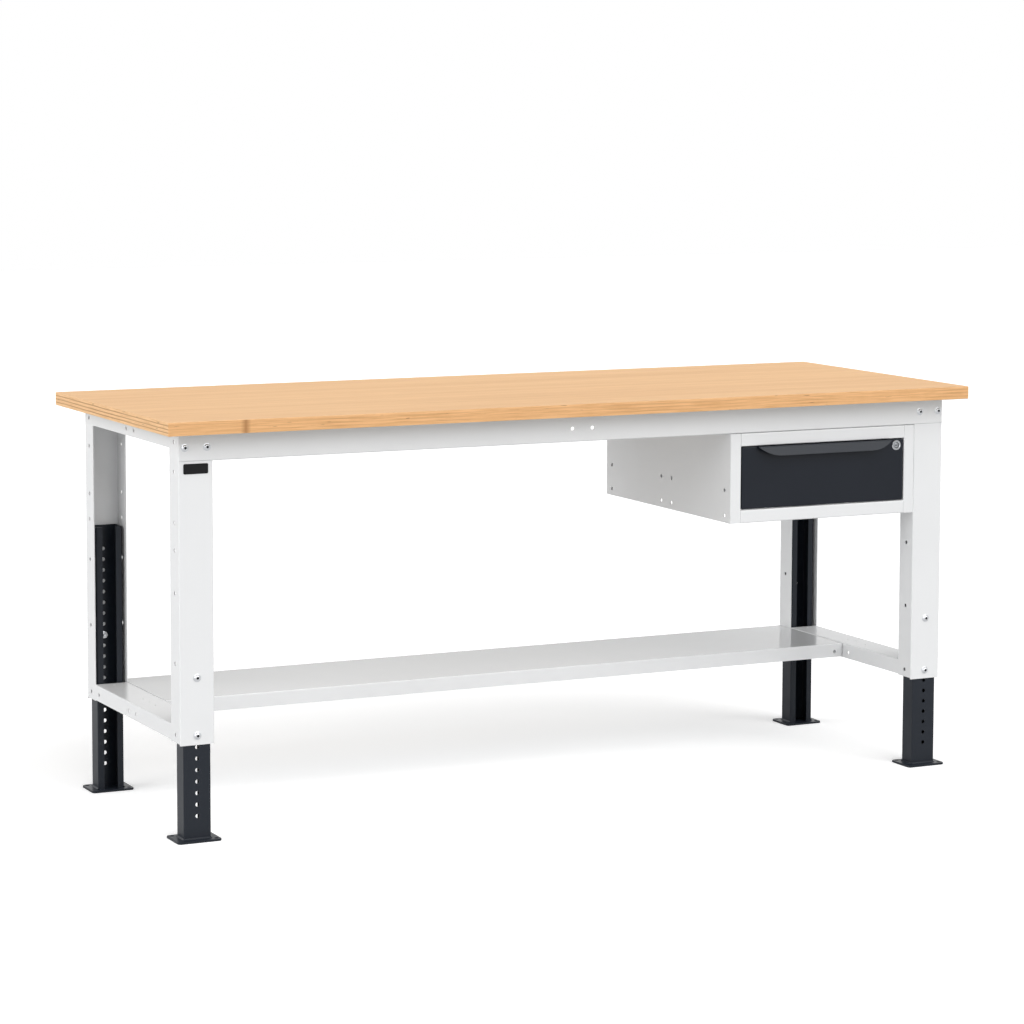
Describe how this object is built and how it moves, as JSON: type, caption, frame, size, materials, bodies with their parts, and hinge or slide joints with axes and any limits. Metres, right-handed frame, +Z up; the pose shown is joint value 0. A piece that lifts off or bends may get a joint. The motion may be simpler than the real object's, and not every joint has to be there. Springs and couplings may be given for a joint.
{
  "type": "height-adjustable workbench",
  "caption": "Steel workbench with a beech plywood top, legs that telescope in the posts, a half-depth shelf and a lockable drawer on telescopic runners.",
  "frame": {"origin": "on the floor, under the middle of the worktop, with the legs at their middle setting", "axes": "+X along the bench to the right of a person who faces the drawer, +Y from the front to the back, +Z up"},
  "size_m": [2, 0.75, 0.91],
  "materials": {
    "worktop_wood": "clear lacquered beech plywood",
    "dark_paint": "anthracite powder coat, satin",
    "pale_paint": "pale grey powder coat, satin",
    "tray_paint": "pale grey powder coat, satin",
    "black_plate": "plain black plastic",
    "chrome": "polished chrome plating",
    "zinc": "bright zinc plated steel"
  },
  "bodies": {
    "frame": {"worktop": "worktop_wood", "rail_front": "pale_paint", "rail_back": "pale_paint", "post_front_left": "pale_paint", "post_front_right": "pale_paint", "post_back_left": "pale_paint", "post_back_right": "pale_paint", "cross_upper_left": "pale_paint", "cross_upper_right": "pale_paint", "cross_lower_left": "pale_paint", "cross_lower_right": "pale_paint", "shelf": "pale_paint", "blank_plate": "black_plate", "rail_bolts": "zinc", "rail_nuts": "zinc", "leg_bolts": "zinc", "leg_nuts": "zinc", "worktop_screws": "zinc", "shelf_bolts": "zinc", "shelf_nuts": "zinc", "unit_side_left": "pale_paint", "unit_side_right": "pale_paint", "unit_bar_top": "pale_paint", "unit_bar_bottom": "pale_paint", "unit_back": "pale_paint", "unit_top": "pale_paint", "hanger_front": "pale_paint", "hanger_back": "pale_paint", "unit_bolts": "zinc", "unit_nuts": "zinc", "runner_spacer_left": "zinc", "runner_spacer_right": "zinc", "runner_outer_left": "zinc", "runner_outer_right": "zinc"},
    "runner_middle_left": {"runner_middle_left": "zinc"},
    "runner_middle_right": {"runner_middle_right": "zinc"},
    "drawer": {"drawer_front": "dark_paint", "drawer_tray": "tray_paint", "runner_inner_left": "zinc", "runner_inner_right": "zinc", "lock_barrel": "chrome", "lock_nut": "chrome"},
    "lock": {"lock_core": "chrome", "lock_cam": "chrome"},
    "leg_front_left": {"leg_front_left": "dark_paint", "foot_front_left": "dark_paint"},
    "leg_front_right": {"leg_front_right": "dark_paint", "foot_front_right": "dark_paint"},
    "leg_back_left": {"leg_back_left": "dark_paint", "foot_back_left": "dark_paint"},
    "leg_back_right": {"leg_back_right": "dark_paint", "foot_back_right": "dark_paint"}
  },
  "joints": [
    {"name": "leg_front_left_slide", "type": "slide", "parent": "frame", "child": "leg_front_left", "axis": [0, 0, -1], "range_m": [-0.15, 0.15]},
    {"name": "leg_front_right_slide", "type": "slide", "parent": "frame", "child": "leg_front_right", "axis": [0, 0, -1], "range_m": [-0.15, 0.15]},
    {"name": "leg_back_left_slide", "type": "slide", "parent": "frame", "child": "leg_back_left", "axis": [0, 0, -1], "range_m": [-0.15, 0.15]},
    {"name": "leg_back_right_slide", "type": "slide", "parent": "frame", "child": "leg_back_right", "axis": [0, 0, -1], "range_m": [-0.15, 0.15]},
    {"name": "drawer_slide", "type": "slide", "parent": "frame", "child": "drawer", "axis": [0, -1, 0], "range_m": [0, 0.5]},
    {"name": "runner_left_slide", "type": "slide", "parent": "frame", "child": "runner_middle_left", "axis": [0, -1, 0], "range_m": [0, 0.25]},
    {"name": "runner_right_slide", "type": "slide", "parent": "frame", "child": "runner_middle_right", "axis": [0, -1, 0], "range_m": [0, 0.25]},
    {"name": "lock_turn", "type": "hinge", "parent": "drawer", "child": "lock", "pos_m": [0.832, -0.325, 0.773], "axis": [0, 1, 0], "range_deg": [0, 90]}
  ],
  "couplings": [
    {"joint": "runner_left_slide", "follows": "drawer_slide", "ratio": 0.5},
    {"joint": "runner_right_slide", "follows": "drawer_slide", "ratio": 0.5}
  ]
}
